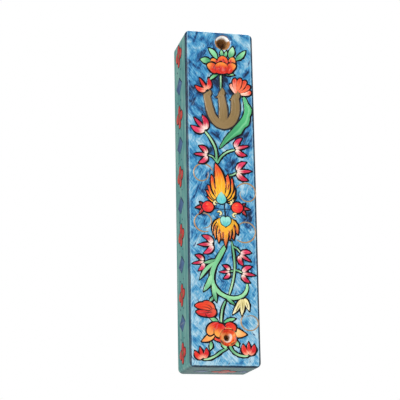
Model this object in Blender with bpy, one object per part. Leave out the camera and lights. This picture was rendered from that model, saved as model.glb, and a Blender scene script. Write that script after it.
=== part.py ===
"""A painted wooden mezuzah case: a solid block with a scroll channel routed into its back, a dovetailed
wooden cover that slides over the channel, and the rolled parchment inside.

Metres, +Z up. The painted front faces -Y and the back, at Y = 0, goes against the doorpost.
The origin is the centre of the back face. The block is sized around the parchment: its outer sizes are the
roll, the room around it, the cover and the walls, added up.
"""

import math

import bmesh
import bpy
from mathutils import Matrix, Vector

# The parchment, a sheet rolled on itself
SCROLL_LENGTH = 0.1000
SCROLL_RADIUS = 0.0062
SCROLL_CORE = 0.0034  # inner radius of the roll
SHEET_THICKNESS = 0.0003
SCROLL_TURNS = 3.3
POINTS_PER_TURN = 28

# The channel that holds it
CHANNEL_SIDE_ROOM = 0.0010  # each side of the roll
CHANNEL_DEEP_ROOM = 0.0008  # over the roll's diameter
CHANNEL_HEAD_ROOM = 0.0068  # above the roll, for a fingertip to lift it
CHANNEL_CORNER = 0.0030  # the router bit's radius

# The block around it
FRONT_WALL = 0.0061  # in front of the channel
SIDE_WALL = 0.0068  # each side of the channel
CORNER_RADIUS = 0.0020  # of the block's outline, seen from the front
EDGE_RADIUS = 0.0008  # where the front and the back meet the sides
EDGE_STEPS = 3

# The two countersunk holes that fasten the case to the doorpost, drilled a little right of the middle
TOP_HOLE_BORE = 0.0048
TOP_HOLE_HEAD = 0.0068
TOP_HOLE_DOWN = 0.0044  # its axis, below the top end
TOP_HOLE_LAND = 0.0045  # from the channel's top end up to its axis
TOP_HOLE_ASIDE = 0.0016
LOW_HOLE_BORE = 0.0026
LOW_HOLE_HEAD = 0.0060
LOW_HOLE_UP = 0.0116  # its axis, above the bottom end
LOW_HOLE_LAND = 0.0081  # from its axis up to the channel's bottom end
LOW_HOLE_ASIDE = 0.0011
COUNTERSINK_SLOPE = math.radians(45)
HOLE_SIDES = 32

# The sliding cover
COVER_THICKNESS = 0.0024
COVER_SIDE_LAP = 0.0018  # how far its outer face reaches past each side of the channel
COVER_END_LAP = 0.0025  # how far it reaches past the channel's lower end
COVER_CHAMFER = 0.0004
DOVETAIL_ANGLE = math.radians(20)
NICK_RADIUS = 0.0060
NICK_DEPTH = 0.0009
NICK_WIDTH = 0.0090
NICK_DOWN = 0.0160  # below the cover's upper end

FIT_GAP = 0.0003  # between pieces that lie against each other
CUT_PAST = 0.0020  # how far a cutter runs past the face it starts from

# Sizes that add up from the ones above
CHANNEL_WIDTH = 2 * (SCROLL_RADIUS + CHANNEL_SIDE_ROOM)
CHANNEL_DEPTH = 2 * SCROLL_RADIUS + CHANNEL_DEEP_ROOM
CORNER_STEP = CHANNEL_CORNER - math.sqrt(CHANNEL_CORNER**2 - (CHANNEL_CORNER - CHANNEL_SIDE_ROOM) ** 2)
SCROLL_LIFT = CORNER_STEP + FIT_GAP  # the roll stands in the channel's round corners
CHANNEL_LENGTH = SCROLL_LIFT + SCROLL_LENGTH + CHANNEL_HEAD_ROOM
COVER_WIDTH = CHANNEL_WIDTH + 2 * COVER_SIDE_LAP
CASE_WIDTH = CHANNEL_WIDTH + 2 * SIDE_WALL
CASE_DEPTH = COVER_THICKNESS + FIT_GAP + CHANNEL_DEPTH + FRONT_WALL
CASE_HEIGHT = LOW_HOLE_UP + LOW_HOLE_LAND + CHANNEL_LENGTH + TOP_HOLE_LAND + TOP_HOLE_DOWN

# Places along Z and Y
TOP_Z = CASE_HEIGHT / 2
BOTTOM_Z = -CASE_HEIGHT / 2
TOP_HOLE_Z = TOP_Z - TOP_HOLE_DOWN
LOW_HOLE_Z = BOTTOM_Z + LOW_HOLE_UP
CHANNEL_BOTTOM_Z = LOW_HOLE_Z + LOW_HOLE_LAND
CHANNEL_TOP_Z = CHANNEL_BOTTOM_Z + CHANNEL_LENGTH
SCROLL_BOTTOM_Z = CHANNEL_BOTTOM_Z + SCROLL_LIFT
COVER_BOTTOM_Z = CHANNEL_BOTTOM_Z - COVER_END_LAP
FRONT_Y = -CASE_DEPTH
CHANNEL_FLOOR_Y = FRONT_Y + FRONT_WALL
GROOVE_FLOOR_Y = -(COVER_THICKNESS + FIT_GAP)
SCROLL_AXIS_Y = CHANNEL_FLOOR_Y + FIT_GAP + SCROLL_RADIUS


def clear_scene():
    for obj in list(bpy.data.objects):
        bpy.data.objects.remove(obj, do_unlink=True)


def material(name, colour, roughness, metallic=0.0):
    """A Principled BSDF with one plain colour."""
    made = bpy.data.materials.new(name)
    made.use_nodes = True
    shader = made.node_tree.nodes["Principled BSDF"]
    shader.inputs["Base Color"].default_value = (*colour, 1.0)
    shader.inputs["Roughness"].default_value = roughness
    shader.inputs["Metallic"].default_value = metallic
    return made


def place(name, mesh, finish=None):
    """Puts a mesh in the scene. With no finish it is a cutter, which isn't part of the object."""
    obj = bpy.data.objects.new(name, mesh)
    bpy.context.scene.collection.objects.link(obj)
    if finish:
        mesh.materials.append(finish)
    else:
        obj.hide_render = True
        obj.display_type = "WIRE"
    return obj


def prism(name, outline, along, start, end):
    """A closed solid: the outline, a loop of 2D points, carried along one axis from start to end.

    Along Y the outline is (x, z), and along Z it is (x, y).
    """
    bm = bmesh.new()
    lift = {"Y": lambda p: Vector((p[0], start, p[1])), "Z": lambda p: Vector((p[0], p[1], start))}[along]
    step = {"Y": Vector((0, end - start, 0)), "Z": Vector((0, 0, end - start))}[along]
    face = bm.faces.new([bm.verts.new(lift(point)) for point in outline])
    swept = bmesh.ops.extrude_face_region(bm, geom=[face])["geom"]
    bmesh.ops.translate(bm, verts=[v for v in swept if isinstance(v, bmesh.types.BMVert)], vec=step)
    bmesh.ops.recalc_face_normals(bm, faces=bm.faces)
    mesh = bpy.data.meshes.new(name)
    bm.to_mesh(mesh)
    bm.free()
    return mesh


def rounded_rectangle(x0, x1, z0, z1, radius, steps=6):
    """Corner points of a rectangle with round corners, anticlockwise."""
    corners = ((x1, z0, -90), (x1, z1, 0), (x0, z1, 90), (x0, z0, 180))
    points = []
    for x, z, first in corners:
        centre_x = x - math.copysign(radius, x - (x0 + x1) / 2)
        centre_z = z - math.copysign(radius, z - (z0 + z1) / 2)
        for i in range(steps + 1):
            turn = math.radians(first + 90 * i / steps)
            points.append((centre_x + radius * math.cos(turn), centre_z + radius * math.sin(turn)))
    return points


def countersunk_cutter(name, bore, head, x, z):
    """The solid a countersink bit removes, with its axis along Y: a straight bore from past the back up to
    the cone, and the cone from there out past the front."""
    cone_depth = (head - bore) / 2 / math.tan(COUNTERSINK_SLOPE)
    profile = (
        (bore / 2, CUT_PAST),
        (bore / 2, FRONT_Y + cone_depth),
        (head / 2 + CUT_PAST * math.tan(COUNTERSINK_SLOPE), FRONT_Y - CUT_PAST),
    )
    bm = bmesh.new()
    radius, y = profile[0]
    upright = Matrix.Rotation(math.pi / 2, 4, "X")
    mouth = bmesh.ops.create_circle(bm, cap_ends=True, radius=radius, segments=HOLE_SIDES, matrix=upright)
    bmesh.ops.translate(bm, verts=mouth["verts"], vec=(x, y, z))
    face = mouth["verts"][0].link_faces[0]
    for wider, further in profile[1:]:
        face = bmesh.ops.extrude_discrete_faces(bm, faces=[face])["faces"][0]
        bmesh.ops.translate(bm, verts=face.verts, vec=(0, further - y, 0))
        grown = Matrix.Diagonal((wider / radius, 1, wider / radius, 1))
        bmesh.ops.transform(bm, matrix=grown, space=Matrix.Translation((-x, 0, -z)), verts=face.verts)
        radius, y = wider, further
    bmesh.ops.recalc_face_normals(bm, faces=bm.faces)
    mesh = bpy.data.meshes.new(name)
    bm.to_mesh(mesh)
    bm.free()
    return place(name, mesh)


def cut(obj, cutter):
    """Takes the cutter's solid out of obj."""
    modifier = obj.modifiers.new(cutter.name, "BOOLEAN")
    modifier.operation = "DIFFERENCE"
    modifier.solver = "EXACT"
    modifier.object = cutter


def round_edges(obj, width, steps, sharper_than):
    """Rounds the edges where faces meet at more than an angle, in degrees."""
    modifier = obj.modifiers.new("edges", "BEVEL")
    modifier.width = width
    modifier.segments = steps
    modifier.limit_method = "ANGLE"
    modifier.angle_limit = math.radians(sharper_than)


def finish(obj):
    """Settles the modifiers' result in the piece's own mesh, with its round faces shaded smooth."""
    evaluated = obj.evaluated_get(bpy.context.evaluated_depsgraph_get())
    mesh = bpy.data.meshes.new_from_object(evaluated)
    obj.modifiers.clear()
    obj.data = mesh
    mesh.shade_smooth()
    mesh.set_sharp_from_angle(angle=math.radians(30))


def dovetail(outset, depth):
    """The (x, y) outline of the cover, or of its groove when its flanks are moved out by outset.

    It opens at the back face with the cover's width and widens with depth.
    """
    beyond = 0.0 if outset == 0 else CUT_PAST
    half = COVER_WIDTH / 2 + outset / math.cos(DOVETAIL_ANGLE)
    slope = math.tan(DOVETAIL_ANGLE)
    mouth, floor = half - beyond * slope, half + depth * slope
    return [(-floor, -depth), (floor, -depth), (mouth, beyond), (-mouth, beyond)]


def case_body(holes):
    """The block, with the cover's groove, the scroll channel and the screw holes cut into it."""
    half = CASE_WIDTH / 2
    outline = rounded_rectangle(-half, half, BOTTOM_Z, TOP_Z, CORNER_RADIUS)
    block = prism("case_body", outline, "Y", FRONT_Y, 0.0)
    body = place("case_body", block, material("blue_painted_wood", (0.13, 0.32, 0.52), 0.3))
    round_edges(body, EDGE_RADIUS, EDGE_STEPS, sharper_than=40)
    blind_end = COVER_BOTTOM_Z - FIT_GAP
    groove = prism("groove_cutter", dovetail(FIT_GAP, -GROOVE_FLOOR_Y), "Z", blind_end, TOP_Z + CUT_PAST)
    cut(body, place("groove_cutter", groove))
    reach = CHANNEL_WIDTH / 2
    pocket = rounded_rectangle(-reach, reach, CHANNEL_BOTTOM_Z, CHANNEL_TOP_Z, CHANNEL_CORNER)
    channel = prism("channel_cutter", pocket, "Y", CHANNEL_FLOOR_Y, GROOVE_FLOOR_Y + FIT_GAP)
    cut(body, place("channel_cutter", channel))
    for hole in holes:
        cut(body, hole)
    return body


def back_cover(top_hole):
    """The slat that closes the channel, flush with the back, with a nick for a fingernail."""
    slat = prism("back_cover", dovetail(0.0, COVER_THICKNESS), "Z", COVER_BOTTOM_Z, TOP_Z)
    cover = place("back_cover", slat, material("bare_wood", (0.62, 0.44, 0.26), 0.6))
    round_edges(cover, COVER_CHAMFER, 1, sharper_than=75)
    bm = bmesh.new()
    across = Matrix.Rotation(math.pi / 2, 4, "Y")
    centre = Matrix.Translation((0, NICK_RADIUS - NICK_DEPTH, TOP_Z - NICK_DOWN))
    round_bar = {"radius1": NICK_RADIUS, "radius2": NICK_RADIUS, "depth": NICK_WIDTH, "segments": HOLE_SIDES}
    bmesh.ops.create_cone(bm, cap_ends=True, matrix=centre @ across, **round_bar)
    mesh = bpy.data.meshes.new("nick_cutter")
    bm.to_mesh(mesh)
    bm.free()
    cut(cover, place("nick_cutter", mesh))
    cut(cover, top_hole)
    return cover


def parchment_scroll():
    """The parchment: a sheet wound from the core out to the roll's radius, standing on the channel's end."""
    steps = round(SCROLL_TURNS * POINTS_PER_TURN)

    def wound(outer):
        """One face of the sheet, as points of an even spiral."""
        inner = outer - (SCROLL_RADIUS - SCROLL_CORE - SHEET_THICKNESS)
        for i in range(steps + 1):
            turn = 2 * math.pi * SCROLL_TURNS * i / steps
            radius = inner + (outer - inner) * i / steps
            yield (radius * math.cos(turn), SCROLL_AXIS_Y + radius * math.sin(turn))

    outline = [*wound(SCROLL_RADIUS), *reversed(list(wound(SCROLL_RADIUS - SHEET_THICKNESS)))]
    mesh = prism("parchment_scroll", outline, "Z", SCROLL_BOTTOM_Z, SCROLL_BOTTOM_Z + SCROLL_LENGTH)
    return place("parchment_scroll", mesh, material("parchment", (0.80, 0.70, 0.50), 0.7))


def main():
    clear_scene()
    top_hole = countersunk_cutter("top_hole_cutter", TOP_HOLE_BORE, TOP_HOLE_HEAD, TOP_HOLE_ASIDE, TOP_HOLE_Z)
    low_hole = countersunk_cutter("low_hole_cutter", LOW_HOLE_BORE, LOW_HOLE_HEAD, LOW_HOLE_ASIDE, LOW_HOLE_Z)
    for piece in (case_body([top_hole, low_hole]), back_cover(top_hole), parchment_scroll()):
        finish(piece)


main()
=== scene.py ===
import math
from functools import partial

import bmesh
import bpy
import numpy as np
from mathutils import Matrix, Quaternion, Vector


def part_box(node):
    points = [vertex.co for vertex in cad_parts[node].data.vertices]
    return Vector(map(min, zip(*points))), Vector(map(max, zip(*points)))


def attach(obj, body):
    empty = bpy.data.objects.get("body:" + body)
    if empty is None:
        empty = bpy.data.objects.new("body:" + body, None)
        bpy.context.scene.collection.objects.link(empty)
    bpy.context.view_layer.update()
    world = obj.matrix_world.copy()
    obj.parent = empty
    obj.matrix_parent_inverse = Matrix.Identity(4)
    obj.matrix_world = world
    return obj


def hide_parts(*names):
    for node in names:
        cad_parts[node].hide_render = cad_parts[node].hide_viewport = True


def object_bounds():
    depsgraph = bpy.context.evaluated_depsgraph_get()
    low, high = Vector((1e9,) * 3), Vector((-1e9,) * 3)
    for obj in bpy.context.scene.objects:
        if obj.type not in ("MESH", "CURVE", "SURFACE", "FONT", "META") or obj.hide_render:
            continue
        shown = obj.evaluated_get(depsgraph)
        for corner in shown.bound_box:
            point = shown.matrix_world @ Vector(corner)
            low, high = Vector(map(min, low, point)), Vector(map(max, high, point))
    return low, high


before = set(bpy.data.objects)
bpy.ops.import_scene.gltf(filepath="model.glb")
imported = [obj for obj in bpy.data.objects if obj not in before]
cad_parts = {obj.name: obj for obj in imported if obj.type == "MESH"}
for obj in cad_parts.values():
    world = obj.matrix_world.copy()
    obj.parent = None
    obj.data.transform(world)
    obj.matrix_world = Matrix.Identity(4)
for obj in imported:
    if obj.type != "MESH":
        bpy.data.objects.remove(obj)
cad_low, cad_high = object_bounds()

# The room: a pale floor well below the case, which hangs on its doorpost, a white wall and four soft lamps.
# The case is seen from in front, from its left and from below, as on a high doorpost.
MM = 0.001
EYE = Vector((-0.1256, -0.5226, -0.1340))
GAZE = Vector((0.2198, 0.9436, 0.2477))
HEAD_TILT = math.radians(-1.0)
FLOOR_DROP = 0.095
FLOOR_REACH = 2.5


def tone(code):
    """A paint colour from its hex code, as the linear light that a shader mixes: ((c + 0.055) / 1.055) **
    2.4, or c / 12.92 where it is nearly black."""
    parts = np.array([int(code[i : i + 2], 16) for i in (0, 2, 4)]) / 255
    linear = np.where(parts <= 0.04045, parts / 12.92, ((parts + 0.055) / 1.055) ** 2.4)
    return (*linear.tolist(), 1.0)


def blank_material(name, roughness, gloss):
    """A material with its Principled shader, and a clear lacquer coat of the given weight over it."""
    made = bpy.data.materials.new(name)
    made.use_nodes = True
    shader = made.node_tree.nodes["Principled BSDF"]
    shader.inputs["Roughness"].default_value = roughness
    shader.inputs["Specular IOR Level"].default_value = 0.3
    shader.inputs["Coat Weight"].default_value = gloss
    shader.inputs["Coat Roughness"].default_value = 0.07
    return made, made.node_tree, shader


def node(tree, kind, **values):
    """Adds a shader node. A value named like a socket is set on that input, and any other on the node."""
    made = tree.nodes.new(kind)
    for key, value in values.items():
        if key in made.inputs:
            made.inputs[key].default_value = value
        else:
            setattr(made, key, value)
    return made


def ramp(tree, source, stops):
    """A colour ramp from (place, hex code) stops, driven by the source socket."""
    made = tree.nodes.new("ShaderNodeValToRGB")
    while len(made.color_ramp.elements) < len(stops):
        made.color_ramp.elements.new(0.5)
    for element, (place, code) in zip(made.color_ramp.elements, stops):
        element.position = place
        element.color = tone(code)
    tree.links.new(source, made.inputs["Fac"])
    return made.outputs["Color"]


def place_mesh(name, points, faces, smooth=True):
    """An object at the origin, with its place in its mesh, from point and face arrays."""
    mesh = bpy.data.meshes.new(name)
    mesh.from_pydata(np.asarray(points, float).tolist(), [], faces)
    mesh.polygons.foreach_set("use_smooth", np.full(len(mesh.polygons), smooth))
    mesh.update()
    made = bpy.data.objects.new(name, mesh)
    bpy.context.scene.collection.objects.link(made)
    return made


def own_place(tree):
    """The piece's own coordinates, which stay with it wherever it goes."""
    return node(tree, "ShaderNodeTexCoord").outputs["Object"]


def noise(tree, where, scale, detail, **values):
    """A noise over the given coordinates, from about 0.2 to 0.8."""
    made = node(tree, "ShaderNodeTexNoise", Scale=scale, Detail=detail, **values)
    tree.links.new(where, made.inputs["Vector"])
    return made.outputs["Fac"]


camera = bpy.data.objects.new("camera", bpy.data.cameras.new("camera"))
bpy.context.scene.collection.objects.link(camera)
camera.data.sensor_width = 36
camera.data.lens = 121.6
camera.data.clip_start = 0.01
camera.location = EYE
camera.rotation_mode = "QUATERNION"
camera.rotation_quaternion = GAZE.to_track_quat("-Z", "Y") @ Quaternion((0, 0, 1), HEAD_TILT)
bpy.context.scene.camera = camera
bpy.context.scene.view_settings.view_transform = "Standard"

floor_z = cad_low.z - FLOOR_DROP
corners = [(x * FLOOR_REACH, y * FLOOR_REACH, floor_z) for x, y in ((-1, -1), (1, -1), (1, 1), (-1, 1))]
floor = place_mesh("floor", corners, [(0, 1, 2, 3)], smooth=False)
floor_paint, tree, shader = blank_material("floor_paint", 0.7, 0.0)
floor_grit = noise(tree, own_place(tree), 9.0, 3.0)
tree.links.new(ramp(tree, floor_grit, ((0.3, "e6e5e2"), (0.7, "eeedea"))), shader.inputs["Base Color"])
floor.data.materials.append(floor_paint)

world = bpy.data.worlds.new("room")
bpy.context.scene.world = world
world.use_nodes = True
sky = world.node_tree
wall = sky.nodes["Background"]
wall.inputs["Color"].default_value = (1, 1, 1, 1)
wall.inputs["Strength"].default_value = 1.0
room = node(sky, "ShaderNodeBackground", Color=(0.93, 0.96, 1.0, 1.0), Strength=0.24)
seen = node(sky, "ShaderNodeMixShader")
sky.links.new(node(sky, "ShaderNodeLightPath").outputs["Is Camera Ray"], seen.inputs[0])
sky.links.new(room.outputs[0], seen.inputs[1])
sky.links.new(wall.outputs[0], seen.inputs[2])
sky.links.new(seen.outputs[0], sky.nodes["World Output"].inputs["Surface"])

for name, spot, size, power in (
    ("window_left", (-2.12, -1.55, 0.75), 1.25, 40.6),
    ("window_front", (-0.88, -2.38, 0.88), 1.0, 32.5),
    ("window_right", (2.25, -0.88, 1.0), 1.5, 26.0),
    ("window_back", (1.12, 1.88, 2.12), 1.5, 44.0),
):
    lamp = bpy.data.objects.new(name, bpy.data.lights.new(name, "AREA"))
    lamp.data.size = size
    lamp.data.energy = power
    lamp.location = spot
    lamp.rotation_euler = (-Vector(spot)).to_track_quat("-Z", "Y").to_euler()
    bpy.context.scene.collection.objects.link(lamp)


# The block is one length of pale basswood, sawn, sanded soft and left bare at the back, in the routed
# channel and in the screw holes. Its grain runs up the case, and paint has slopped over its back edges here
# and there.
def mix(tree, amount, first, second, blend="MIX"):
    """Mixes two colours. Each of the three may be a socket or a plain value."""
    made = node(tree, "ShaderNodeMix", data_type="RGBA", blend_type=blend, clamp_factor=True)
    for socket, value in ((made.inputs[0], amount), (made.inputs[6], first), (made.inputs[7], second)):
        if isinstance(value, bpy.types.NodeSocket):
            tree.links.new(value, socket)
        else:
            socket.default_value = value
    return made.outputs[2]


def sums(tree, operation, first, second=0.0, third=0.0):
    """One Math node on sockets or plain numbers."""
    made = node(tree, "ShaderNodeMath", operation=operation)
    for socket, value in zip(made.inputs, (first, second, third)):
        if isinstance(value, bpy.types.NodeSocket):
            tree.links.new(value, socket)
        else:
            socket.default_value = value
    return made.outputs[0]


def between(tree, value, low, high):
    """0 below low, 1 above high and a smooth step from one to the other."""
    made = node(tree, "ShaderNodeMapRange", interpolation_type="SMOOTHSTEP")
    made.inputs["From Min"].default_value = low
    made.inputs["From Max"].default_value = high
    tree.links.new(value, made.inputs["Value"])
    return made.outputs["Result"]


def split(tree, vector):
    """The x, y and z of a vector."""
    apart = node(tree, "ShaderNodeSeparateXYZ")
    tree.links.new(vector, apart.inputs[0])
    return apart.outputs[0], apart.outputs[1], apart.outputs[2]


def new_group(name, inputs, outputs):
    """An empty node group with these sockets, all numbers but those called Color, Pale, Dark or Vector."""
    group = bpy.data.node_groups.new(name, "ShaderNodeTree")
    kinds = {label: "NodeSocketColor" for label in ("Color", "Pale", "Dark")}
    kinds["Vector"] = "NodeSocketVector"
    for in_out, labels in (("INPUT", inputs), ("OUTPUT", outputs)):
        for label in labels:
            group.interface.new_socket(label, in_out=in_out, socket_type=kinds.get(label, "NodeSocketFloat"))
    return group, group.nodes.new("NodeGroupInput").outputs, group.nodes.new("NodeGroupOutput").inputs


def grain_group():
    """Long-grain wood as a node group: growth rings are a wave over x and y, bent by a noise that is
    stretched 30 times along z, and fine pores are a second stretched noise."""
    group, given, out = new_group("wood_grain", ["Ring Width", "Pale", "Dark"], ["Color", "Height"])
    long = node(group, "ShaderNodeMapping", Scale=(1000, 1000, 33))
    group.links.new(own_place(group), long.inputs["Vector"])
    x, y, _ = split(group, long.outputs[0])
    sway = noise(group, long.outputs[0], 0.16, 2.0)
    bent = sums(group, "MULTIPLY_ADD", sway, 14.0, sums(group, "MULTIPLY_ADD", y, 0.55, x))
    rings = sums(group, "FRACT", sums(group, "DIVIDE", bent, given["Ring Width"]))
    late = sums(group, "POWER", rings, 2.6)
    speck = between(group, noise(group, long.outputs[0], 3.2, 4.0, Roughness=0.65), 0.36, 0.62)
    ringed = mix(group, sums(group, "MULTIPLY", late, 0.8), given["Pale"], given["Dark"])
    flecked = mix(group, sums(group, "MULTIPLY_ADD", speck, -0.32, 0.32), ringed, given["Dark"])
    group.links.new(flecked, out["Color"])
    group.links.new(sums(group, "MULTIPLY_ADD", late, -0.25, speck), out["Height"])
    return group


def bumped(tree, shader, height, depth):
    """Lets a height, in 0 to 1, raise the surface by a depth in metres."""
    bump = node(tree, "ShaderNodeBump", Strength=1.0, Distance=depth)
    tree.links.new(height, bump.inputs["Height"])
    tree.links.new(bump.outputs[0], shader.inputs["Normal"])


def wood(name, ring_width, pale, dark, roughness):
    """A bare wood with its tree and shader, and the colour of its grain, still to be linked."""
    made, tree, shader = blank_material(name, roughness, 0.0)
    grain = node(tree, "ShaderNodeGroup", node_tree=WOOD_GRAIN)
    grain.inputs["Ring Width"].default_value = ring_width
    grain.inputs["Pale"].default_value = tone(pale)
    grain.inputs["Dark"].default_value = tone(dark)
    bumped(tree, shader, grain.outputs["Height"], 0.05 * MM)
    return made, tree, shader, grain.outputs["Color"]


def give_wood(part, material):
    """Puts a wood on one of the CAD's own pieces."""
    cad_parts[part].data.materials.clear()
    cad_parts[part].data.materials.append(material)


WOOD_GRAIN = grain_group()
SLOP_REACH = 2.2 * MM  # how far in from the sides the paint runs over the back
block_wood, tree, shader, bare = wood("block_wood", 2.4, "d9b98a", "a87a4a", 0.62)
where = own_place(tree)
px, py, _ = split(tree, where)
slop = noise(tree, where, 420.0, 4.0)
outward = sums(tree, "MULTIPLY_ADD", slop, SLOP_REACH, sums(tree, "ABSOLUTE", px))
teal_slop = mix(tree, between(tree, outward, 13.6 * MM, 13.9 * MM), bare, tone("6f9c98"))
# Painted shade: through the front wall, in the screw holes' bores, the wood is mixed towards a darker brown
# over its own colour
deep_inside = between(tree, py, -15.5 * MM, -3.0 * MM)
bore_shade_brown = mix(tree, deep_inside, tone("c2935c"), teal_slop)
tree.links.new(mix(tree, 0.55, teal_slop, bore_shade_brown), shader.inputs["Base Color"])
give_wood("case_body", block_wood)


# The back cover is a thin slat of a closer, yellower wood with slanted edges. It is sanded but not finished,
# and fingers have darkened it round the nail nick and at its upper end, where it is pushed and pulled.
NICK_DOWN = 16 * MM  # below the cover's upper end
SMUDGE_HALF = 4 * MM

cover_wood, tree, shader, bare = wood("cover_wood", 1.3, "e3c391", "b98a52", 0.55)
where = own_place(tree)
_, _, pz = split(tree, where)
smudge = noise(tree, where, 160.0, 3.0)
from_nick = sums(tree, "ABSOLUTE", sums(tree, "SUBTRACT", pz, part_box("back_cover")[1].z - NICK_DOWN))
from_smudge = sums(tree, "MULTIPLY_ADD", smudge, -14 * MM, from_nick)
handled = sums(tree, "MULTIPLY", between(tree, from_smudge, SMUDGE_HALF, -SMUDGE_HALF), 0.45)
tree.links.new(mix(tree, handled, bare, tone("8d6236")), shader.inputs["Base Color"])
give_wood("back_cover", cover_wood)


# The parchment is a sheet of calfskin, rolled on itself with its edges left a little uneven, and stands on
# the channel's lower end. Its writing is inside, so the roll shows only the skin's cloudy outer face.
ROLL_TURNS = 3.3
SHEET = 0.28 * MM

roll_low, roll_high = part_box("parchment_scroll")
roll_x = (roll_low.x + roll_high.x) / 2
roll_y = (roll_low.y + roll_high.y) / 2
roll_radius = (roll_high.y - roll_low.y) / 2 * 0.985


def rolled_sheet():
    """The sheet's two faces over a grid of turn t and height h: the middle radius grows evenly with t, each
    face lies half a sheet to its side, and slow waves in t and h let the turns part and the ends stand
    uneven."""
    t, h = np.meshgrid(np.linspace(0, 1, 190), np.linspace(0, 1, 26), indexing="ij")
    angle = 2 * math.pi * ROLL_TURNS * t + 0.4
    loose = 0.10 * MM * np.sin(2.2 * angle + 3 * h) * np.sin(math.pi * h)
    middle = roll_radius * (0.55 + 0.45 * t) - SHEET / 2 - 0.12 * MM + loose
    ends = 0.35 * MM * np.sin(5.1 * t + 1.0) + 0.15 * MM * np.sin(23 * t)
    height = roll_high.z - roll_low.z - 0.6 * MM
    z = roll_low.z + 0.3 * MM + h * height + ends * (2 * h - 1) * 0.4
    faces = []
    for side in (0.5, -0.5):
        radius = middle + side * SHEET
        faces.append(np.stack([roll_x + radius * np.cos(angle), roll_y + radius * np.sin(angle), z], -1))
    return faces


def closed_sheet(outer, inner):
    """Joins two grids of points into one closed sheet: both faces, and a strip along each of the four
    edges."""
    rows, columns = outer.shape[:2]
    index = np.arange(rows * columns).reshape(rows, columns)
    back = index + rows * columns
    face = np.stack([index[:-1, :-1], index[1:, :-1], index[1:, 1:], index[:-1, 1:]], -1).reshape(-1, 4)
    quads = [face, face[:, ::-1] + rows * columns]
    for edge, other in (
        (index[:, 0][::-1], back[:, 0][::-1]),
        (index[:, -1], back[:, -1]),
        (index[0, :], back[0, :]),
        (index[-1, :][::-1], back[-1, :][::-1]),
    ):
        quads.append(np.stack([edge[:-1], edge[1:], other[1:], other[:-1]], -1)[:, ::-1])
    return np.concatenate([outer.reshape(-1, 3), inner.reshape(-1, 3)]), np.concatenate(quads)


scroll = place_mesh("rolled_parchment", *[part.tolist() for part in closed_sheet(*rolled_sheet())])
skin, tree, shader = blank_material("calfskin", 0.6, 0.0)
where = own_place(tree)
cloud = noise(tree, where, 130.0, 5.0, Roughness=0.6)
follicles = noise(tree, where, 2600.0, 2.0)
clouded = ramp(tree, cloud, ((0.3, "cdb98d"), (0.5, "dfd0a8"), (0.7, "ebe0c0")))
dotted = mix(tree, between(tree, follicles, 0.62, 0.72), clouded, tone("b89f70"))
tree.links.new(dotted, shader.inputs["Base Color"])
bumped(tree, shader, sums(tree, "ADD", cloud, follicles), 0.04 * MM)
scroll.data.materials.append(skin)
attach(scroll, "case")
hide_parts("parchment_scroll")


# The ground is the coat of acrylic and gloss lacquer over the front, the four sides and the mouths of the
# screw holes. The front is scumbled in blues from navy to sky, and the sides are streaked in grey teal.
COAT = 0.06 * MM
EDGE_ROUND = 0.8 * MM
CORNER_ROUND = 2.0 * MM
half_width = (cad_high.x - cad_low.x) / 2
half_height = (cad_high.z - cad_low.z) / 2
FRONT_Y = cad_low.y - COAT
GROOVE_HALF = 10.45 * MM  # of the cover's groove, which the coat leaves open at the top end
GROOVE_DEEP = 2.85 * MM
# Each screw hole's axis, the radii of its countersink and its bore, and how far the paint ran into the bore
TOP_HOLE = {"x": 1.6 * MM, "z": half_height - 4.4 * MM, "head": 3.4 * MM, "bore": 2.4 * MM, "wet": 1.4 * MM}
LOW_HOLE = {"x": 1.1 * MM, "z": 11.6 * MM - half_height, "head": 3.0 * MM, "bore": 1.3 * MM, "wet": 2.5 * MM}
SEAM_TOP, SEAM_LOW = 57.0 * MM, -49.0 * MM
COLUMNS, ROWS = 28, 72


def arc(centre_x, centre_z, radius, start, steps):
    """Points and outward directions along a quarter circle, from an angle in degrees, without its first
    point."""
    turn = np.radians(start + np.linspace(0, 90, steps + 1)[1:])
    way = np.stack([np.cos(turn), np.sin(turn)], -1)
    return np.array([centre_x, centre_z]) + radius * way, way


def run(start, end, steps, way, extra=()):
    """Points along a straight edge and their one outward direction, without the first point. Extra
    fractions of the way add points of their own."""
    part = np.unique(np.concatenate([np.linspace(0, 1, steps + 1)[1:], extra]))[:, None]
    points = np.array(start) + part * (np.array(end) - np.array(start))
    return points, np.tile(np.array(way, float), (len(points), 1))


def cap_outline(sign, seam, side_steps=10):
    """The outline of one end of the flat front, anticlockwise from one end of its seam to the other."""
    a, b = half_width + COAT - EDGE_ROUND, half_height + COAT - EDGE_ROUND
    r = CORNER_ROUND - EDGE_ROUND
    turn = 0 if sign > 0 else 180
    notch = np.array([(a - r - x) / (2 * (a - r)) for x in (GROOVE_HALF + 0.08 * MM, GROOVE_HALF)])
    extra = np.concatenate([notch, 1 - notch]) if sign > 0 else ()
    parts = [
        run((sign * a, seam), (sign * a, sign * (b - r)), side_steps, (sign, 0)),
        arc(sign * (a - r), sign * (b - r), r, turn, 7),
        run((sign * (a - r), sign * b), (-sign * (a - r), sign * b), 26, (0, sign), extra),
        arc(-sign * (a - r), sign * (b - r), r, turn + 90, 7),
        run((-sign * a, sign * (b - r)), (-sign * a, seam), side_steps, (-sign, 0)),
    ]
    return np.concatenate([p for p, _ in parts]), np.concatenate([w for _, w in parts])


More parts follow.
